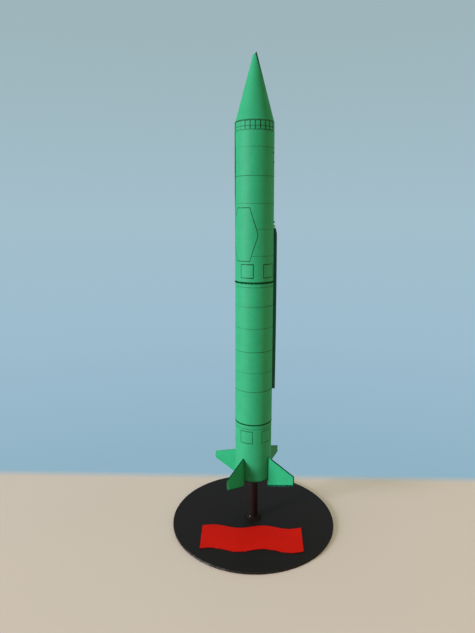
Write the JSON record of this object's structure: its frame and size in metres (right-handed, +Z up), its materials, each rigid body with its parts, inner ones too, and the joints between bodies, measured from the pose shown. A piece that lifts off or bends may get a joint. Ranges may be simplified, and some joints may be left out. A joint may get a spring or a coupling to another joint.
{
  "type": "card model space rocket on a round stand",
  "caption": "Hand-made green card model of a slender space rocket with a sharp nose cone, small fins and a side duct, on a post in a round black stand.",
  "frame": {"origin": "middle of the disc's underside, on the table", "axes": "+Z up along the rocket's axis, -Y towards the front where the title card lies, +X to the right where the cable duct is"},
  "size_m": [0.12, 0.12, 0.3256],
  "materials": {
    "green_card": "matt coloured card",
    "joint_black": "matt black card edge",
    "base_black": "matt black",
    "post_wood": "satin dark brown stain",
    "red_paper": "matt red paper, blank",
    "duct_card": "matt dark green card",
    "glue": "glossy dark glue"
  },
  "bodies": {
    "root": {"base_disc": "base_black", "title_card": "red_paper", "post": "post_wood", "glue_bead": "glue", "section_tail": "green_card", "tail_plate": "green_card", "joint_ring_lower": "joint_black", "section_middle": "green_card", "joint_ring_upper": "joint_black", "section_upper": "green_card", "collar_band": "green_card", "nose_cone": "green_card", "fin_front_right": "green_card", "fin_front_left": "green_card", "fin_back_left": "green_card", "fin_back_right": "green_card", "cable_duct": "duct_card"}
  },
  "joints": []
}
